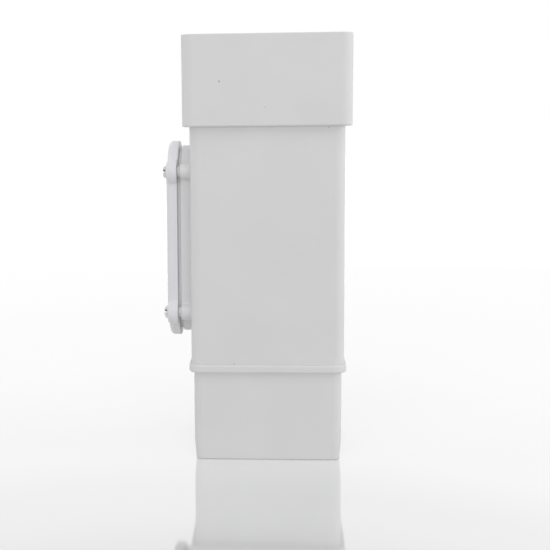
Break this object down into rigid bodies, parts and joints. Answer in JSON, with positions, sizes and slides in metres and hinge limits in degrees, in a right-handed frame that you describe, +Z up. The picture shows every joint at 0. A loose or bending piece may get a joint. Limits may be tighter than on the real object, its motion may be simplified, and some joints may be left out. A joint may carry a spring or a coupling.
{
  "type": "downpipe access pipe",
  "caption": "Square plastic rainwater downpipe fitting with a socket above, a spigot below and a screwed access cover on one side.",
  "frame": {"origin": "middle of the spigot's end face, on the pipe's axis", "axes": "+Z up the pipe from spigot to socket; the access cover faces -X; the pipe's plain front faces -Y"},
  "size_m": [0.0796, 0.0698, 0.1772],
  "materials": {
    "white_upvc": "smooth moulded",
    "zinc_steel": "bright zinc plated"
  },
  "bodies": {
    "root": {"pipe_body": "white_upvc", "access_cover": "white_upvc", "cover_screws": "zinc_steel"}
  },
  "joints": []
}
